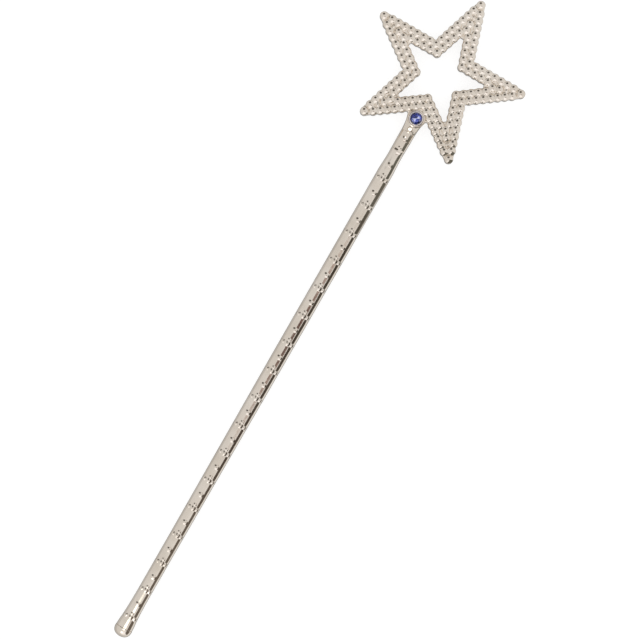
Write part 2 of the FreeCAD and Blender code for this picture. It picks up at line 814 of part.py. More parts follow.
# ------------------------------------------------------------------ checks, files
for obj in doc.Objects:
    if "Invalid" in obj.State or "Error" in obj.State:
        raise RuntimeError("%s failed: %s" % (obj.Name, obj.State))
os.makedirs("parts", exist_ok=True)
for name, obj in NODES.items():
    s = obj.Shape
    if s.isNull() or not s.isValid():
        raise RuntimeError("%s has no valid shape" % name)
    b = s.BoundBox
    print(
        "%-18s solids %d faces %4d vol %9.2f  x %.2f..%.2f y %.2f..%.2f z %.2f..%.2f"
        % (
            name,
            len(s.Solids),
            len(s.Faces),
            s.Volume,
            b.XMin,
            b.XMax,
            b.YMin,
            b.YMax,
            b.ZMin,
            b.ZMax,
        )
    )
for name, obj in NODES.items():
    obj.Shape.exportStep("parts/%s.step" % name)
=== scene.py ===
import math

import bpy
import numpy as np
from mathutils import Matrix, Vector


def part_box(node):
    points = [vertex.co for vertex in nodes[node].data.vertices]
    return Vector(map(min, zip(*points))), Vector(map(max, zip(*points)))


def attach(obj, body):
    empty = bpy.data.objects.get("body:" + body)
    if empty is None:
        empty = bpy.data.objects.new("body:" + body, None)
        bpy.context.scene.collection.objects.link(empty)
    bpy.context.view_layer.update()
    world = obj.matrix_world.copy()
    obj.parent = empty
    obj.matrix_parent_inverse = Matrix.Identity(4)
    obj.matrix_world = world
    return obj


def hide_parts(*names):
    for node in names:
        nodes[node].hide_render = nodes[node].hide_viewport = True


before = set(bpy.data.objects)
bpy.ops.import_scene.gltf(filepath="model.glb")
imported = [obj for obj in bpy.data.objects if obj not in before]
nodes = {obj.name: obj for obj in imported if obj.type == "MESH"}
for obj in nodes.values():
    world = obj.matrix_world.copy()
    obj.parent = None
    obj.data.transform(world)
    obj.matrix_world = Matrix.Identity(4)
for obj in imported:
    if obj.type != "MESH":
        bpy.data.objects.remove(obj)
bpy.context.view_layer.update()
scene = bpy.context.scene

# The wand, in millimetres about the centre of its star: x across, y along the
# shaft towards the top point, z out of the front, 0 on the parting plane.
STAR_TOP, WAND_FOOT = 42.9, 316.9
star_lo, star_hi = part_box("star_front_shell")
ORIGIN = Vector((0.0, star_hi.y - STAR_TOP / 1000, star_lo.z))

# ---------------------------------------------------------------- camera
# nearly straight down on the star's face, the shaft leaning across the picture
lean = math.radians(29.85)
right = Vector((math.cos(lean), math.sin(lean), 0))
up = Vector((-math.sin(lean), math.cos(lean), 0))
back = Vector((0, 0, 1))
aim = Vector((0.0083, ORIGIN.y - 0.1329, 0.0055))
cam_data = bpy.data.cameras.new("camera")
cam_data.sensor_width = 36.0
cam_data.lens = 150.0
FRAME_W = 0.3149
dist = FRAME_W / 2 * cam_data.lens / 18.0
cam_data.clip_start, cam_data.clip_end = 0.05, 50.0
cam = bpy.data.objects.new("camera", cam_data)
scene.collection.objects.link(cam)
rot = Matrix((right, up, back)).transposed().to_4x4()
cam.matrix_world = Matrix.Translation(aim + back * dist) @ rot
scene.camera = cam
scene.view_settings.view_transform = "Standard"
scene.view_settings.look = "None"


# ---------------------------------------------------------------- node helpers
def new_material(name):
    m = bpy.data.materials.new(name)
    m.use_nodes = True
    nt = m.node_tree
    nt.nodes.clear()
    out = nt.nodes.new("ShaderNodeOutputMaterial")
    bsdf = nt.nodes.new("ShaderNodeBsdfPrincipled")
    nt.links.new(bsdf.outputs[0], out.inputs[0])
    return m, nt, bsdf


def node(nt, kind, **inputs):
    n = nt.nodes.new(kind)
    for k, val in inputs.items():
        n.inputs[k.replace("_", " ")].default_value = val
    return n


def math_node(nt, op, a, b=None, c=None, clamp=False):
    n = nt.nodes.new("ShaderNodeMath")
    n.operation = op
    n.use_clamp = clamp
    for i, x in enumerate((a, b, c)):
        if x is None:
            continue
        if isinstance(x, (int, float)):
            n.inputs[i].default_value = x
        else:
            nt.links.new(x, n.inputs[i])
    return n.outputs[0]


def ramp(nt, src, stops, mode="LINEAR"):
    r = nt.nodes.new("ShaderNodeValToRGB")
    r.color_ramp.interpolation = mode
    els = r.color_ramp.elements
    while len(els) > 1:
        els.remove(els[-1])
    els[0].position, els[0].color = stops[0][0], stops[0][1]
    for pos, col in stops[1:]:
        e = els.new(pos)
        e.color = col
    nt.links.new(src, r.inputs[0])
    return r.outputs[0]


def mix_colour(nt, fac, a, b, mode="MIX"):
    n = nt.nodes.new("ShaderNodeMix")
    n.data_type = "RGBA"
    n.blend_type = mode
    for sock, val in ((n.inputs[0], fac), (n.inputs[6], a), (n.inputs[7], b)):
        if isinstance(val, (tuple, float, int)):
            sock.default_value = val
        else:
            nt.links.new(val, sock)
    return n.outputs[2]


def grey(x):
    return (x, x, x, 1)


# ---------------------------------------------------------------- materials
def metallised(name, tint, rough=0.12, scuff=0.5):
    """Vacuum-metallised plastic under a clear lacquer: a mirror film over the
    slightly rippled moulding, thinner and warmer on the crests, rougher in the
    grooves and darkened there with painted shade, with fine handling scratches."""
    m, nt, bsdf = new_material(name)
    tc = nt.nodes.new("ShaderNodeTexCoord")
    obj = tc.outputs["Object"]

    def noise(scale, detail=2.0, rough_=0.5):
        n = node(
            nt, "ShaderNodeTexNoise", Scale=scale, Detail=detail, Roughness=rough_
        )
        nt.links.new(obj, n.inputs["Vector"])
        return n.outputs["Fac"]

    cloud, peel, grain = noise(70.0, 3.0, 0.6), noise(700.0, 1.5), noise(4200.0, 2.0)
    stretched = nt.nodes.new("ShaderNodeMapping")
    stretched.inputs["Scale"].default_value = (2600.0, 90.0, 1500.0)
    stretched.inputs["Rotation"].default_value = (0.0, 0.0, 0.5)
    nt.links.new(obj, stretched.inputs["Vector"])
    scratch = node(nt, "ShaderNodeTexNoise", Scale=1.0, Detail=2.0, Roughness=0.6)
    nt.links.new(stretched.outputs[0], scratch.inputs["Vector"])
    scratches = ramp(
        nt, scratch.outputs["Fac"], [(0.66, grey(0.0)), (0.72, grey(1.0))]
    )
    geo = nt.nodes.new("ShaderNodeNewGeometry")
    crest = ramp(
        nt, geo.outputs["Pointiness"], [(0.52, grey(0.0)), (0.60, grey(1.0))]
    )
    groove = ramp(
        nt, geo.outputs["Pointiness"], [(0.40, grey(1.0)), (0.48, grey(0.0))]
    )
    r, g, b = tint
    film = ramp(
        nt,
        cloud,
        [
            (0.32, (r * 0.93, g * 0.92, b * 0.90, 1)),
            (0.50, (r, g, b, 1)),
            (0.68, (min(1.0, r * 1.04), g * 1.055, b * 1.07, 1)),
        ],
    )
    worn = mix_colour(
        nt,
        math_node(nt, "MULTIPLY", math_node(nt, "MULTIPLY", crest, cloud), scuff),
        film,
        (r * 0.92, g * 0.82, b * 0.72, 1),
    )
    # painted shade: the colour is darkened in the grooves and crevices between beads, where shade
    # falls
    crevice_painted_shade = mix_colour(
        nt,
        math_node(nt, "MULTIPLY", groove, 0.6),
        worn,
        (r * 0.42, g * 0.37, b * 0.31, 1),
    )
    nt.links.new(crevice_painted_shade, bsdf.inputs["Base Color"])
    bsdf.inputs["Metallic"].default_value = 1.0
    rr = math_node(nt, "MULTIPLY_ADD", cloud, rough * 0.7, rough * 0.65)
    rr = math_node(nt, "MULTIPLY_ADD", groove, 0.16, rr)
    rr = math_node(nt, "MULTIPLY_ADD", scratches, 0.10, rr, clamp=True)
    nt.links.new(rr, bsdf.inputs["Roughness"])
    height = math_node(nt, "MULTIPLY_ADD", grain, 0.05, peel)
    height = math_node(nt, "MULTIPLY_ADD", scratches, -0.12, height)
    bump = node(nt, "ShaderNodeBump", Strength=0.22, Distance=0.00005)
    nt.links.new(height, bump.inputs["Height"])
    nt.links.new(bump.outputs[0], bsdf.inputs["Normal"])
    return m


def glass_blue():
    """Clear blue acrylic with faint flow marks."""
    m, nt, bsdf = new_material("gem_acrylic")
    tc = nt.nodes.new("ShaderNodeTexCoord")
    n1 = node(nt, "ShaderNodeTexNoise", Scale=600.0, Detail=2.0)
    nt.links.new(tc.outputs["Object"], n1.inputs["Vector"])
    col = ramp(
        nt,
        n1.outputs["Fac"],
        [(0.35, (0.74, 0.78, 0.97, 1)), (0.65, (0.82, 0.85, 0.99, 1))],
    )
    nt.links.new(col, bsdf.inputs["Base Color"])
    bsdf.inputs["Transmission Weight"].default_value = 1.0
    bsdf.inputs["IOR"].default_value = 1.49
    rr = math_node(nt, "MULTIPLY_ADD", n1.outputs["Fac"], 0.03, 0.005)
    nt.links.new(rr, bsdf.inputs["Roughness"])
    bump = node(nt, "ShaderNodeBump", Strength=0.05, Distance=0.00003)
    nt.links.new(n1.outputs["Fac"], bump.inputs["Height"])
    nt.links.new(bump.outputs[0], bsdf.inputs["Normal"])
    return m


def foil_blue(name, dark, mid, light):
    """Lacquered foil behind the stone, mottled."""
    m, nt, bsdf = new_material(name)
    tc = nt.nodes.new("ShaderNodeTexCoord")
    n1 = node(nt, "ShaderNodeTexNoise", Scale=850.0, Detail=2.0)
    nt.links.new(tc.outputs["Object"], n1.inputs["Vector"])
    col = ramp(
        nt,
        n1.outputs["Fac"],
        [
            (0.34, (*dark, 1)),
            (0.50, (*mid, 1)),
            (0.66, (*light, 1)),
        ],
    )
    nt.links.new(col, bsdf.inputs["Base Color"])
    bsdf.inputs["Metallic"].default_value = 1.0
    rr = math_node(nt, "MULTIPLY_ADD", n1.outputs["Fac"], 0.08, 0.02)
    nt.links.new(rr, bsdf.inputs["Roughness"])
    return m


SILVER = (0.828, 0.747, 0.654)
mats = {
    "star": metallised("silver_star", SILVER, 0.11),
    "rod": metallised("silver_shaft", SILVER, 0.13),
    "pommel": metallised("silver_pommel", SILVER, 0.12, 0.8),
    "cup": metallised("gem_cup", (0.88, 0.82, 0.80), 0.07, 0.2),
    "glass": glass_blue(),
    "foil": foil_blue("gem_foil", (0.04, 0.06, 0.30), (0.10, 0.14, 0.52), (0.24, 0.28, 0.75)),
    # darker and lighter copies of the foil: painted shade and painted glints for single facets of
    # the stone's back
    "foil_painted_shade": foil_blue(
        "gem_foil_deep", (0.016, 0.024, 0.12), (0.030, 0.042, 0.22), (0.06, 0.08, 0.36)
    ),
    "foil_painted_glint": foil_blue(
        "gem_foil_bright", (0.42, 0.45, 0.90), (0.80, 0.82, 1.0), (0.95, 0.96, 1.0)
    ),
}


# ---------------------------------------------------------------- mesh helpers
def make_piece(name, verts, faces, node_name, mat_list, smooth=True):
    """A mesh given in millimetres about the star's centre."""
    me = bpy.data.meshes.new(name)
    verts = np.asarray(verts, dtype=float)
    pts = verts / 1000 + np.array(ORIGIN)
    if isinstance(faces, np.ndarray):
        me.vertices.add(len(pts))
        me.vertices.foreach_set("co", pts.astype(np.float32).ravel())
        nf, k = faces.shape
        me.loops.add(nf * k)
        me.loops.foreach_set("vertex_index", faces.astype(np.int32).ravel())
        me.polygons.add(nf)
        me.polygons.foreach_set("loop_start", np.arange(0, nf * k, k, dtype=np.int32))
        me.update(calc_edges=True)
    else:
        me.from_pydata([tuple(p) for p in pts], [], faces)
    me.validate()
    me.polygons.foreach_set("use_smooth", [smooth] * len(me.polygons))
    for mt in mat_list:
        me.materials.append(mt)
    ob = bpy.data.objects.new(name, me)
    scene.collection.objects.link(ob)
    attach(ob, "root")
    if node_name:
        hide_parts(node_name)
    return ob


def smin(a, b, k):
    h = np.maximum(k - np.abs(a - b), 0.0) / k
    return np.minimum(a, b) - h * h * k * 0.25


def smax(a, b, k):
    return -smin(-a, -b, k)


CORNERS = [(i, j, k) for i in (0, 1) for j in (0, 1) for k in (0, 1)]
EDGES = [
    (a, b)
    for a in range(8)
    for b in range(a + 1, 8)
    if sum(abs(p - q) for p, q in zip(CORNERS[a], CORNERS[b])) == 1
]


def surface_net(f, origin, h):
    """Quads on the zero surface of a field sampled on a grid."""
    s = f < 0
    n = np.array(f.shape) - 1
    count = np.zeros(tuple(n), np.int8)
    for c in CORNERS:
        count += s[c[0] : c[0] + n[0], c[1] : c[1] + n[1], c[2] : c[2] + n[2]]
    ijk = np.argwhere((count > 0) & (count < 8))
    index = -np.ones(tuple(n), np.int64)
    index[tuple(ijk.T)] = np.arange(len(ijk))
    acc = np.zeros((len(ijk), 3))
    hits = np.zeros(len(ijk))
    vals = [f[tuple((ijk + np.array(c)).T)] for c in CORNERS]
    for a, b in EDGES:
        fa, fb = vals[a], vals[b]
        m = (fa < 0) != (fb < 0)
        t = np.where(m, fa / np.where(m, fa - fb, 1.0), 0.0)
        ca, cb = np.array(CORNERS[a], float), np.array(CORNERS[b], float)
        acc += m[:, None] * (ca + t[:, None] * (cb - ca))
        hits += m
    local = acc / hits[:, None]
    verts = ijk + local
    quads = []
    for ax in range(3):
        lo = [slice(None)] * 3
        hi = [slice(None)] * 3
        lo[ax], hi[ax] = slice(0, -1), slice(1, None)
        sa, sb = s[tuple(lo)], s[tuple(hi)]
        e = np.argwhere(sa != sb)
        u, w = (ax + 1) % 3, (ax + 2) % 3
        e = e[
            (e[:, u] > 0) & (e[:, w] > 0) & (e[:, u] < n[u]) & (e[:, w] < n[w])
        ]
        inside = s[tuple(e.T)]

        def cell(du, dw):
            q = e.copy()
            q[:, u] -= du
            q[:, w] -= dw
            return index[tuple(q.T)]

        q = np.stack([cell(1, 1), cell(0, 1), cell(0, 0), cell(1, 0)], 1)
        q[~inside] = q[~inside][:, ::-1]
        quads.append(q)
    return verts * h + np.array(origin), np.concatenate(quads)


def polygon_distance(px, py, poly):
    """Signed distance from points to a closed polygon, negative inside."""
    poly = np.asarray(poly, float)
    d = np.full(px.shape, 1e9)
    sign = np.ones(px.shape)
    for i in range(len(poly)):
        ax, ay = poly[i]
        bx, by = poly[(i + 1) % len(poly)]
        ex, ey = bx - ax, by - ay
        wx, wy = px - ax, py - ay
        t = np.clip((wx * ex + wy * ey) / (ex * ex + ey * ey), 0, 1)
        d = np.minimum(d, (wx - t * ex) ** 2 + (wy - t * ey) ** 2)
        c1, c2, c3 = py >= ay, py < by, ex * wy > ey * wx
        flip = (c1 & c2 & c3) | (~c1 & ~c2 & ~c3)
        sign = np.where(flip, -sign, sign)
    return sign * np.sqrt(d)


# ---------------------------------------------------------------- the star
S36, C36 = math.sin(math.radians(36)), math.cos(math.radians(36))
PLATE, RISE, BEAD_R, TIP_R = 2.6, 1.15, 2.2, 2.2
GEM_Y = -23.6
outer_a = np.array([1.75, 36.7])
outer_b = np.array([16.15 * S36, 16.15 * C36])
inner_a = np.array([2.40, 23.70])
inner_b = np.array([11.95 * S36, 11.95 * C36])
arm_beads = []
for i in range(8):
    p = outer_a + (outer_b - outer_a) * i / 7
    arm_beads.append((p[0], p[1], BEAD_R, RISE))
    if i < 7:
        arm_beads.append((-p[0], p[1], BEAD_R, RISE))
for i in range(5):
    p = inner_a + (inner_b - inner_a) * i / 4
    arm_beads.append((p[0], p[1], BEAD_R, RISE))
    if i < 4:
        arm_beads.append((-p[0], p[1], BEAD_R, RISE))
arm_beads += [
    (0, 26.5, BEAD_R, RISE),
    (0, 30.0, BEAD_R, RISE),
    (0, 33.5, 1.05, RISE * 0.62),
    (0, STAR_TOP - TIP_R, TIP_R, RISE),
]
ARM = [
    (2.15, 40.7),
    (18.4 * S36, 18.4 * C36),
    (9.8 * S36, 9.8 * C36),
    (0.9, 22.0),
    (-0.9, 22.0),
    (-9.8 * S36, 9.8 * C36),
    (-18.4 * S36, 18.4 * C36),
    (-2.15, 40.7),
]
NECK_SIDE = [
    (7.3, -21.2),
    (5.85, -22.0),
    (4.9, -23.2),
    (4.5, -24.6),
    (4.1, -26.0),
    (3.6, -28.4),
    (3.2, -31.2),
]
NECK = NECK_SIDE + [(-x, y) for x, y in reversed(NECK_SIDE)] + [(0.0, -16.6)]
NECK_ROUND = [(-20.6, 3.2), (-26.0, 3.90), (-28.4, 3.83), (-31.2, 3.76)]


def star_shell(front):
    h = 0.2
    lo = np.array([-41.4, -35.8, -0.6])
    hi = np.array([41.4, 43.5, 4.8])
    n = np.ceil((hi - lo) / h).astype(int) + 1
    xs, ys, zs = (lo[i] + h * np.arange(n[i]) for i in range(3))
    X, Y = np.meshgrid(xs, ys, indexing="ij")
    plan = np.full(X.shape, 1e3)
    for k in range(5):
        a = math.radians(72 * k)
        px = X * math.cos(a) - Y * math.sin(a)
        py = X * math.sin(a) + Y * math.cos(a)
        near = np.hypot(px, py - 25) < 26
        d = np.full(X.shape, 1e3)
        d[near] = polygon_distance(px[near], py[near], ARM)
        plan = np.minimum(plan, d)
    d = polygon_distance(X, Y, NECK)
    plan = smin(plan, d + 0.05, 0.9)
    Z = zs[None, None, :]
    f = smax(plan[:, :, None] + 0 * Z, Z - PLATE + 0 * X[:, :, None], 0.35)
    # the round back of the neck, which holds the shaft
    rows = (ys > -31.9) & (ys < -19.5)
    radius = np.interp(-ys[rows], [-p[0] for p in NECK_ROUND], [p[1] for p in NECK_ROUND])
    yy = ys[rows][None, :, None]
    tube = np.hypot(xs[:, None, None], Z) - radius[None, :, None] + 0.12
    tube = smax(tube, np.abs(yy + 25.9) - 5.33, 0.1)
    f[:, rows, :] = smin(f[:, rows, :], tube, 0.9)

    def local(cx, cy, r, pad=1.2):
        i = slice(*np.searchsorted(xs, [cx - r - pad, cx + r + pad]))
        j = slice(*np.searchsorted(ys, [cy - r - pad, cy + r + pad]))
        return i, j, np.hypot(xs[i][:, None, None] - cx, ys[j][None, :, None] - cy)

    # beads, each a dome on a round column
    for k in range(5):
        a = math.radians(72 * k)
        for bx, by, r, rise in arm_beads:
            cx = bx * math.cos(a) + by * math.sin(a)
            cy = -bx * math.sin(a) + by * math.cos(a)
            ball = (r * r + rise * rise) / (2 * rise)
            zc = PLATE + rise - ball
            i, j, q = local(cx, cy, r)
            dome = np.hypot(q, Z - zc) - ball
            b = smax(np.maximum(dome, 0.02 - Z), q - r, 0.22)
            f[i, j, :] = smin(f[i, j, :], b, 0.16)
    # single bead low on the neck, on the front only
    if front:
        i, j, q = local(0.0, -29.7, 1.25)
        ball = 14.0
        dome = np.hypot(q, Z - (4.14 - ball)) - ball
        f[i, j, :] = smin(f[i, j, :], smax(dome, q - 1.25, 0.3), 0.2)
    # seat for the cup, or the flat pad behind it
    i, j, q = local(0.0, GEM_Y, 4.5, 2.0)
    if front:
        f[i, j, :] = smin(f[i, j, :], smax(q - 4.3, Z - 3.6, 0.3), 0.3)
        seat = np.maximum(q - 3.65, 2.95 - Z)
        f[i, j, :] = smax(f[i, j, :], -seat, 0.12)
    else:
        g = smax(q - 4.5, Z - 3.75, 0.3)
        f[i, j, :] = smin(f[i, j, :], g, 0.3)
        # plain above the pad
        f[i, j, :] = np.maximum(f[i, j, :], np.minimum(Z - 3.75, 4.5 - q) * 1.0)
    # parting face with a fine rounded edge, and the shaft's socket
    f = smax(f, 0.015 - Z, 0.24)
    rows = ys < -23.0
    bore = np.hypot(xs[:, None, None], Z) - 2.3
    bore = np.maximum(bore, ys[rows][None, :, None] + 24.0)
    f[:, rows, :] = np.maximum(f[:, rows, :], -bore)
    v_, q_ = surface_net(f, lo, h)
    if not front:
        v_[:, 2] *= -1
        q_ = q_[:, ::-1].copy()
    return v_, q_


v_, q_ = star_shell(True)
make_piece("star_front", v_, q_, "star_front_shell", [mats["star"]])
v_, q_ = star_shell(False)
make_piece("star_back", v_, q_, "star_back_shell", [mats["star"]])

# ---------------------------------------------------------------- the shaft
ROD_R, BORE_R = 3.56, 1.9
RINGS = [42.1 + 15.54 * i for i in range(17)] + [306.0]
SINGLES = [35.1] + [(a + b) / 2 + 0.25 for a, b in zip(RINGS, RINGS[1:])]
FLARE = [
    (0.0, 3.70),
    (35.0, 3.69),
    (42.0, 3.57),
    (45.0, 3.56),
    (46.0, 3.573),
    (47.0, 3.61),
    (52.0, 3.86),
    (53.0, 3.902),
    (54.2, 3.92),
    (158.0, 3.92),
    (264.0, 3.56),
    (291.0, 3.56),
    (297.5, 3.62),
    (303.5, 3.8),
    (307.3, 4.04),
    (310.2, 4.32),
    (312.1, 4.43),
]


def rod_radius(y):
    """Shaft radius, y measured down from the star's centre."""
    return np.interp(y, [p[0] for p in FLARE], [p[1] for p in FLARE])


def rod_rows():
    marks = [(y, 3.1) for y in RINGS] + [(y, 1.9) for y in SINGLES]
    ys = list(np.arange(31.25, 312.1, 1.1)) + list(np.arange(44.6, 54.6, 0.4)) + [31.25, 31.4, 31.6, 311.7, 311.9, 312.1]
    for y, r in marks:
        a = y - (r if r < 2 else 3.2)
        ys += list(np.arange(a, y + (r if r < 2 else 1.5), 0.16))
    ys = np.unique(np.round(ys, 3))
    ys = ys[(ys >= 31.25) & (ys <= 312.1)]
    keep = [ys[0]]
    for y in ys[1:]:
        if y - keep[-1] > 0.09:
            keep.append(y)
    keep[-1] = 312.1
    return np.array(keep)


def rod_shell(front):
    M = 72
    phi = np.linspace(0, math.pi, M + 1)
    ys = rod_rows()
    Yg, P = np.meshgrid(ys, phi, indexing="ij")
    R = rod_radius(Yg)
    # a fine groove where the two halves meet, and eased ends
    edge = np.minimum(P, math.pi - P) * ROD_R
    R = R - 0.07 * np.exp(-((edge / 0.16) ** 2))
    R = R - 0.02 * np.exp(-(((Yg - 31.25) / 0.12) ** 2))
    R = R - 0.05 * np.exp(-(((Yg - 312.1) / 0.12) ** 2))

    def bead(y, deg, r, rise, skirt=0.14):
        rod = float(rod_radius(y))
        ball = (r * r + rise * rise) / (2 * rise)
        c = rod + rise - ball
        rows = np.abs(ys - y) < r + 1.0
        dphi = P[rows] - math.radians(deg)
        dy = Yg[rows] - y
        under = ball**2 - dy**2 - (c * np.sin(dphi)) ** 2
        top = c * np.cos(dphi) + np.sqrt(np.maximum(under, 0.0))
        # softened skirt
        off = np.hypot(dy, rod * dphi)
        top = np.where((under > 0) & (off < r + 0.5), top, rod - 0.6)
        R[rows] = smax(R[rows], top, skirt)

    for y in RINGS:
        if front and y == RINGS[0]:
            # the first ring is flatter than the rest
            for deg in (53, 90, 127):
                bead(y, deg, 1.24, 0.37)
        else:
            for deg in (45, 89, 133):
                bead(y, deg, 1.2, (0.50 if deg == 89 else 0.60) if front else 0.42)
        bead(y - 1.95, 90, 0.8, 0.24)
    for y in SINGLES:
        bead(y, 92, 1.15, 0.29, 0.10)
    # tenon above the shoulder, in the neck's socket
    rows = [(24.2, 1.9), (24.2, 2.05), (24.35, 2.2), (31.25, 2.2)]
    ty = np.array([r[0] for r in rows])
    tr = np.array([r[1] for r in rows])
    Yall = np.concatenate([ty, ys])
    Rall = np.concatenate([np.repeat(tr[:, None], M + 1, 1), R])
    inner = np.where(Yall < 36.0, 0.06, BORE_R)
    # the bore starts with a flat end: a doubled row at 36
    k = int(np.searchsorted(Yall, 36.0))
    Yall = np.insert(Yall, k, Yall[k])
    Rall = np.insert(Rall, k, Rall[k], axis=0)
    inner = np.insert(inner, k, 0.06)
    n = len(Yall)
    ph = np.concatenate([phi, phi[::-1]])
    rad = np.concatenate([Rall, np.repeat(inner[:, None], M + 1, 1)], 1)
    x = rad * np.cos(ph)[None, :]
    z = rad * np.sin(ph)[None, :] + 0.012
    y = -np.repeat(Yall[:, None], len(ph), 1)
    verts = np.stack([x, y, z], 2).reshape(-1, 3)
    L = len(ph)
    i = np.arange(n - 1)[:, None] * L
    j = np.arange(L)[None, :]
    j2 = (j + 1) % L
    quads = np.stack([i + j, i + j2, i + L + j2, i + L + j], 2).reshape(-1, 4)
    caps = []
    for start, flip in ((0, True), ((n - 1) * L, False)):
        a = np.arange(M)
        q = np.stack(
            [start + a, start + a + 1, start + L - 2 - a, start + L - 1 - a], 1
        )
        caps.append(q[:, ::-1] if flip else q)
    quads = np.concatenate([quads] + caps)
    if not front:
        verts[:, 2] *= -1
        quads = quads[:, ::-1]
    return verts, quads


for name, front in (("rod_front", True), ("rod_back", False)):
    v_, q_ = rod_shell(front)
    make_piece(name, v_, q_, name + "_shell", [mats["rod"]])


# ---------------------------------------------------------------- pommel, cup, gem
def lathe(profile, count, axis="y"):
    """Closed solid of revolution; the profile's ends lie on the axis."""
    prof = np.asarray(profile, float)
    a = np.linspace(0, 2 * math.pi, count, endpoint=False)
    ring = prof[1:-1]
    pts = []
    for r, s in ring:
        if axis == "y":
            pts.append(np.stack([r * np.cos(a), np.full(count, s), r * np.sin(a)], 1))
        else:
            pts.append(np.stack([r * np.cos(a), r * np.sin(a), np.full(count, s)], 1))
    verts = np.concatenate(pts)
    ends = [prof[0][1], prof[-1][1]]
    tail = [(0, e, 0) if axis == "y" else (0, 0, e) for e in ends]
    verts = np.concatenate([verts, np.array(tail, float)])
    faces = []
    m = len(ring)
    for i in range(m - 1):
        for j in range(count):
            k = (j + 1) % count
            faces.append((i * count + j, i * count + k, (i + 1) * count + k, (i + 1) * count + j))
    first, last = m * count, m * count + 1
    for j in range(count):
        k = (j + 1) % count
        faces.append((first, k, j))
        faces.append((last, (m - 1) * count + j, (m - 1) * count + k))
    return verts, faces


def outward(ob):
    """Face normals turned out of a closed mesh."""
    import bmesh

    bm = bmesh.new()
    bm.from_mesh(ob.data)
    bmesh.ops.recalc_face_normals(bm, faces=bm.faces)
    bm.to_mesh(ob.data)
    bm.free()


cap = [(0, -303.2), (1.55, -303.2), (1.78, -303.3), (1.83, -303.5)]
cap += [(1.83, y) for y in np.linspace(-304.5, -311.9, 8)]
cap += [(1.87, -312.14), (2.0, -312.2), (3.0, -312.2), (4.2, -312.2), (4.37, -312.205)]
cap += [(4.43, -312.23), (4.468, -312.3), (4.488, -312.45), (4.496, -312.7)]
for t in np.linspace(0, math.pi / 2, 48)[:-1]:
    cap.append(
        (4.498 * math.cos(t) ** (2 / 2.2), -313.0 - 3.9 * math.sin(t) ** (2 / 2.2))
    )
cap.append((0, -WAND_FOOT))
cap = [p for i, p in enumerate(cap) if i == 0 or p != cap[i - 1]]
v_, q_ = lathe(cap, 128)
pommel = make_piece("pommel", v_, q_, "pommel_cap", [mats["pommel"]])
outward(pommel)


def gem_cup():
    """Low cup with a rolled rim and eight claws leaning over the stone."""
    h = 0.07
    lo = np.array([-3.9, -3.9, 2.7])
    n = np.array([112, 112, 27])
    xs, ys, zs = (lo[i] + h * np.arange(n[i]) for i in range(3))
    X, Y, Z = np.meshgrid(xs, ys, zs, indexing="ij")
    q = np.hypot(X, Y)
    wall = smax(q - 3.57, Z - 3.9, 0.2)
    f = smax(wall, -np.maximum(q - 3.05, 3.34 - Z), 0.1)
    f = smax(f, 2.98 - Z, 0.06)
    for k in range(8):
        a = math.radians(45 * k)
        ax, ay = math.cos(a), math.sin(a)
        # a claw is a bar of round section from (3.27, 3.4) to (3.13, 4.1)
        p0 = np.array([3.29 * ax, 3.29 * ay, 3.2])
        p1 = np.array([3.20 * ax, 3.20 * ay, 4.01])
        e = p1 - p0
        t = np.clip(
            ((X - p0[0]) * e[0] + (Y - p0[1]) * e[1] + (Z - p0[2]) * e[2]) / (e @ e), 0, 1
        )
        d = np.sqrt(
            (X - p0[0] - t * e[0]) ** 2
            + (Y - p0[1] - t * e[1]) ** 2
            + (Z - p0[2] - t * e[2]) ** 2
        ) - (0.26 + 0.03 * t)
        f = smin(f, d, 0.08)
    v_, q_ = surface_net(f, lo, h)
    v_[:, 1] += GEM_Y
    return v_, q_


v_, q_ = gem_cup()
make_piece("cup", v_, q_, "gem_cup", [mats["cup"]])


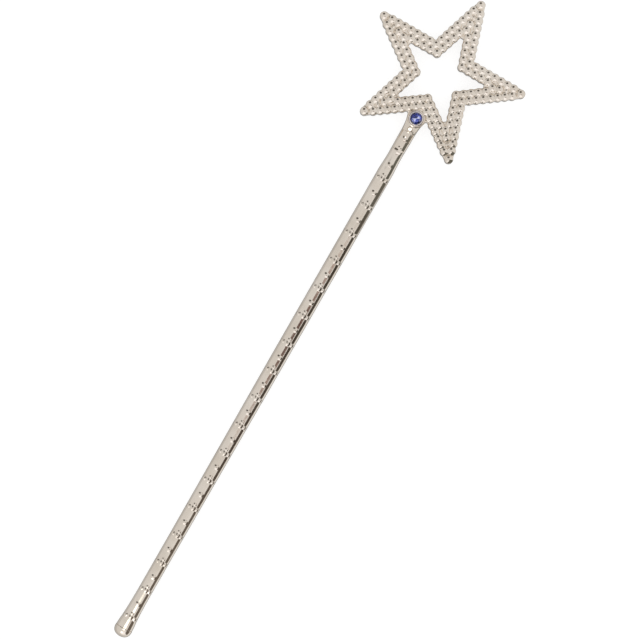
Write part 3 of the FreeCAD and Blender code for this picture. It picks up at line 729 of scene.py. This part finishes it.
def gem():
    """Cut stone: crown facets over a shallow faceted back with foil on it."""
    r, rt, zt, zg = 2.88, 1.6, 1.45, 0.5
    rm = r * 0.79
    zm = zt + (rm * math.cos(math.radians(22.5)) - rt) / (r - rt) * (zg - zt)

    def ring(radius, z, count, start=0.0):
        t = [math.radians(start + 360.0 / count * i) for i in range(count)]
        return [(radius * math.cos(x), radius * math.sin(x), z) for x in t]

    v = (
        ring(rt, zt, 8)
        + ring(rm, zm, 8, 22.5)
        + ring(r, zg, 16)
        + ring(r, zg - 0.16, 16)
        + [
            (x, y, 0.05 + 0.16 * (i % 2))
            for i, (x, y, _) in enumerate(ring(r * 0.56, 0.0, 8, 22.5))
        ]
        + [(0, 0, 0.30)]
    )
    T, M_, G, L, B, C = 0, 8, 16, 32, 48, 56
    faces = [tuple(range(8))]
    mat = [0]
    for i in range(8):
        j, g = (i + 1) % 8, 2 * i
        faces += [
            (T + i, M_ + i, T + j),
            (T + i, M_ + (i - 1) % 8, G + g, M_ + i),
            (M_ + i, G + g, G + (g + 1) % 16),
            (M_ + i, G + (g + 1) % 16, G + (g + 2) % 16),
        ]
        mat += [0] * 4
    for i in range(16):
        j = (i + 1) % 16
        faces.append((G + i, L + i, L + j, G + j))
        mat.append(0)
    for i in range(8):
        g = 2 * i
        faces += [
            (L + g, L + (g + 1) % 16, B + i),
            (L + (g + 1) % 16, L + (g + 2) % 16, B + i),
            (L + (g + 2) % 16, B + (i + 1) % 8, B + i),
            (C, B + i, B + (i + 1) % 8),
        ]
        mat += [1] * 4
    verts = np.array(v)
    verts[:, 1] += GEM_Y
    verts[:, 2] += 3.35
    ob = make_piece(
        "gem_stone",
        verts,
        faces,
        "gem",
        [mats["glass"], mats["foil"], mats["foil_painted_shade"], mats["foil_painted_glint"]],
        False,
    )
    # each facet of the back gets a foil copy by its place: the plain foil, a painted dark shade
    # or a painted glint
    for k, f in enumerate(faces):
        if mat[k] == 0:
            continue
        cx = sum(verts[q][0] for q in f) / len(f)
        cy = sum(verts[q][1] for q in f) / len(f) - GEM_Y
        a = math.degrees(math.atan2(cy, cx)) % 360
        d = math.hypot(cx, cy)
        if d < 1.3:
            mat[k] = 3 if (a < 50 or 225 < a < 275) else (2 if 110 < a < 200 else 1)
        elif 80 < a < 215:
            mat[k] = 2 if k % 4 else 1
        elif 232 < a < 262 or a > 345 or (20 < a < 34):
            mat[k] = 3 if k % 2 else 1
        else:
            mat[k] = 2 if k % 5 == 0 else 1
    ob.data.polygons.foreach_set("material_index", mat)
    outward(ob)
    return ob


gem()

# ---------------------------------------------------------------- floor
me = bpy.data.meshes.new("floor")
s = 3.0
me.from_pydata([(-s, -s, 0), (s, -s, 0), (s, s, 0), (-s, s, 0)], [], [(0, 1, 2, 3)])
floor = bpy.data.objects.new("floor", me)
scene.collection.objects.link(floor)
m, nt, bsdf = new_material("floor")
bsdf.inputs["Base Color"].default_value = (0.36, 0.36, 0.36, 1)
bsdf.inputs["Roughness"].default_value = 0.9
bsdf.inputs["Specular IOR Level"].default_value = 0.1
bsdf.inputs["Emission Color"].default_value = (1, 1, 1, 1)
bsdf.inputs["Emission Strength"].default_value = 0.79
# seen from below the floor is clear, so that the back of the wand can be looked at
geo = nt.nodes.new("ShaderNodeNewGeometry")
clear = nt.nodes.new("ShaderNodeBsdfTransparent")
mix = nt.nodes.new("ShaderNodeMixShader")
out = next(n for n in nt.nodes if n.type == "OUTPUT_MATERIAL")
nt.links.new(geo.outputs["Backfacing"], mix.inputs[0])
nt.links.new(bsdf.outputs[0], mix.inputs[1])
nt.links.new(clear.outputs[0], mix.inputs[2])
nt.links.new(mix.outputs[0], out.inputs[0])
floor.data.materials.append(m)
floor.visible_glossy = False


# ---------------------------------------------------------------- cards
def card(name, corners, colour, stops=None, fade=None):
    """A studio card that only shows in reflections. Its shade may change along
    its Y side, and it may thin out there."""
    me = bpy.data.meshes.new(name)
    me.from_pydata(corners, [], [(0, 1, 2, 3)])
    ob = bpy.data.objects.new(name, me)
    scene.collection.objects.link(ob)
    cm = bpy.data.materials.new(name)
    cm.use_nodes = True
    t = cm.node_tree
    t.nodes.clear()
    o = t.nodes.new("ShaderNodeOutputMaterial")
    e = t.nodes.new("ShaderNodeEmission")
    e.inputs[0].default_value = (*colour, 1)
    t.links.new(e.outputs[0], o.inputs[0])
    if stops or fade:
        g = t.nodes.new("ShaderNodeTexCoord")
        sp = t.nodes.new("ShaderNodeSeparateXYZ")
        t.links.new(g.outputs["Generated"], sp.inputs[0])
    if stops:
        t.links.new(ramp(t, sp.outputs["Y"], stops), e.inputs[0])
    if fade:
        tr = t.nodes.new("ShaderNodeBsdfTransparent")
        mx = t.nodes.new("ShaderNodeMixShader")
        t.links.new(ramp(t, sp.outputs["Y"], fade), mx.inputs[0])
        t.links.new(tr.outputs[0], mx.inputs[1])
        t.links.new(e.outputs[0], mx.inputs[2])
        t.links.new(mx.outputs[0], o.inputs[0])
    me.materials.append(cm)
    ob.visible_camera = False
    ob.visible_diffuse = False
    ob.visible_shadow = False
    ob.visible_volume_scatter = False
    ob.visible_transmission = False
    return ob


axis_z = ORIGIN.z
foot = ORIGIN.y - WAND_FOOT / 1000
neck = ORIGIN.y - 0.0295
# dark flag along the shaft's right side, low; greyer towards the star
card(
    "flag",
    [
        (0.036, foot - 0.02, axis_z - 0.002),
        (0.036, neck, axis_z - 0.002),
        (0.036, neck, axis_z + 0.032),
        (0.036, foot - 0.02, axis_z + 0.032),
    ],
    (0.07, 0.06, 0.05),
    stops=[
        (0.0, (0.155, 0.132, 0.112, 1)),
        (0.22, (0.145, 0.122, 0.102, 1)),
        (0.42, (0.076, 0.060, 0.048, 1)),
        (0.78, (0.062, 0.053, 0.041, 1)),
        (0.86, (0.125, 0.118, 0.10, 1)),
        (1.0, (0.13, 0.135, 0.115, 1)),
    ],
)
# small bright panels: one over the flare, one low over the pommel's end
card(
    "panel",
    [
        (-0.003, foot + 0.0005, 0.036),
        (0.0125, foot + 0.0005, 0.036),
        (0.0125, foot + 0.026, 0.036),
        (-0.003, foot + 0.026, 0.036),
    ],
    (1.0, 1.0, 1.0),
    stops=[
        (0.0, (2.6, 2.6, 2.5, 1)),
        (0.45, (2.2, 2.2, 2.1, 1)),
        (0.7, (1.3, 1.3, 1.25, 1)),
        (1.0, (0.95, 0.95, 0.92, 1)),
    ],
)
card(
    "end_panel",
    [
        (-0.03, foot - 0.16, 0.12),
        (0.05, foot - 0.16, 0.12),
        (0.05, foot - 0.09, 0.16),
        (-0.03, foot - 0.09, 0.16),
    ],
    (2.0, 2.0, 2.0),
)
# grey end of the flag by the neck, taller than the rest
card(
    "flag_end",
    [
        (0.0355, neck - 0.012, axis_z - 0.005),
        (0.0355, neck + 0.001, axis_z - 0.005),
        (0.0355, neck + 0.001, axis_z + 0.036),
        (0.0355, neck - 0.012, axis_z + 0.036),
    ],
    (0.15, 0.15, 0.13),
)
# grey foot of the flag beside the second to fourth bead rings
card(
    "flag_low",
    [
        (0.036, ORIGIN.y - 0.087, axis_z - 0.016),
        (0.036, ORIGIN.y - 0.055, axis_z - 0.016),
        (0.036, ORIGIN.y - 0.055, axis_z - 0.002),
        (0.036, ORIGIN.y - 0.087, axis_z - 0.002),
    ],
    (0.25, 0.24, 0.23),
)
# small white card close over the flat bead on the neck
card(
    "neck_panel",
    [
        (-0.0022, ORIGIN.y - 0.0310, 0.0135),
        (0.0022, ORIGIN.y - 0.0310, 0.0135),
        (0.0022, ORIGIN.y - 0.0278, 0.0135),
        (-0.0022, ORIGIN.y - 0.0278, 0.0135),
    ],
    (2.2, 2.2, 2.2),
)
# brown boom overhead, seen along the middle of the shaft
card(
    "boom",
    [
        (0.05, aim.y - 0.13, 1.0),
        (0.86, aim.y - 0.13, 1.0),
        (0.86, aim.y + 0.065, 1.0),
        (0.05, aim.y + 0.065, 1.0),
    ],
    (0.060, 0.018, 0.010),
    stops=[
        (0.0, (0.45, 0.27, 0.20, 1)),
        (0.20, (0.34, 0.16, 0.10, 1)),
        (0.38, (0.060, 0.018, 0.010, 1)),
        (0.70, (0.060, 0.018, 0.010, 1)),
        (0.86, (0.36, 0.15, 0.09, 1)),
        (1.0, (0.45, 0.27, 0.20, 1)),
    ],
    fade=[
        (0.0, grey(0)),
        (0.20, grey(0.75)),
        (0.38, grey(1)),
        (0.70, grey(1)),
        (0.86, grey(0.85)),
        (1.0, grey(0)),
    ],
)

# ---------------------------------------------------------------- studio world
world = bpy.data.worlds.new("studio")
scene.world = world
world.use_nodes = True
nt = world.node_tree
nt.nodes.clear()
wout = nt.nodes.new("ShaderNodeOutputWorld")
tc = nt.nodes.new("ShaderNodeTexCoord")
direction = tc.outputs["Generated"]


def lobe(az_xy, elevation, inner, outer):
    """1 inside a cone of directions, 0 outside it."""
    e = math.radians(elevation)
    h = Vector((az_xy[0], az_xy[1], 0)).normalized() * math.cos(e)
    d = nt.nodes.new("ShaderNodeVectorMath")
    d.operation = "DOT_PRODUCT"
    nt.links.new(direction, d.inputs[0])
    d.inputs[1].default_value = (h.x, h.y, math.sin(e))
    r = nt.nodes.new("ShaderNodeMapRange")
    r.interpolation_type = "SMOOTHSTEP"
    r.inputs["From Min"].default_value = math.cos(math.radians(outer))
    r.inputs["From Max"].default_value = math.cos(math.radians(inner))
    nt.links.new(d.outputs["Value"], r.inputs["Value"])
    return r.outputs[0]


sep = nt.nodes.new("ShaderNodeSeparateXYZ")
nt.links.new(direction, sep.inputs[0])
height = math_node(nt, "MULTIPLY_ADD", sep.outputs["Z"], 0.5, 0.5)
side = math_node(nt, "MULTIPLY_ADD", sep.outputs["X"], 0.5, 0.5)
low = ramp(nt, side, [(0.0, grey(0.60)), (0.5, grey(0.62)), (1.0, grey(0.86))])
under = ramp(nt, side, [(0.0, grey(0.30)), (0.5, grey(0.31)), (1.0, grey(0.36))])
low = mix_colour(
    nt, ramp(nt, height, [(0.05, grey(0.0)), (0.20, grey(1.0))]), under, low
)
high = ramp(nt, side, [(0.0, grey(0.75)), (0.5, grey(0.79)), (1.0, grey(0.83))])
col = mix_colour(
    nt, ramp(nt, height, [(0.44, grey(0.0)), (0.54, grey(1.0))]), low, high
)
col = mix_colour(nt, lobe((0.45, -0.89), 41, 2, 40), col, (1.17, 1.18, 1.22, 1))
col = mix_colour(nt, lobe((-0.60, 0.80), 44, 15, 30), col, (0.105, 0.096, 0.086, 1))
lp = nt.nodes.new("ShaderNodeLightPath")
col = mix_colour(nt, lp.outputs["Is Camera Ray"], col, (1, 1, 1, 1))
col = mix_colour(nt, lp.outputs["Is Diffuse Ray"], col, (0.8, 0.8, 0.8, 1))
bg = nt.nodes.new("ShaderNodeBackground")
nt.links.new(col, bg.inputs[0])
nt.links.new(bg.outputs[0], wout.inputs[0])
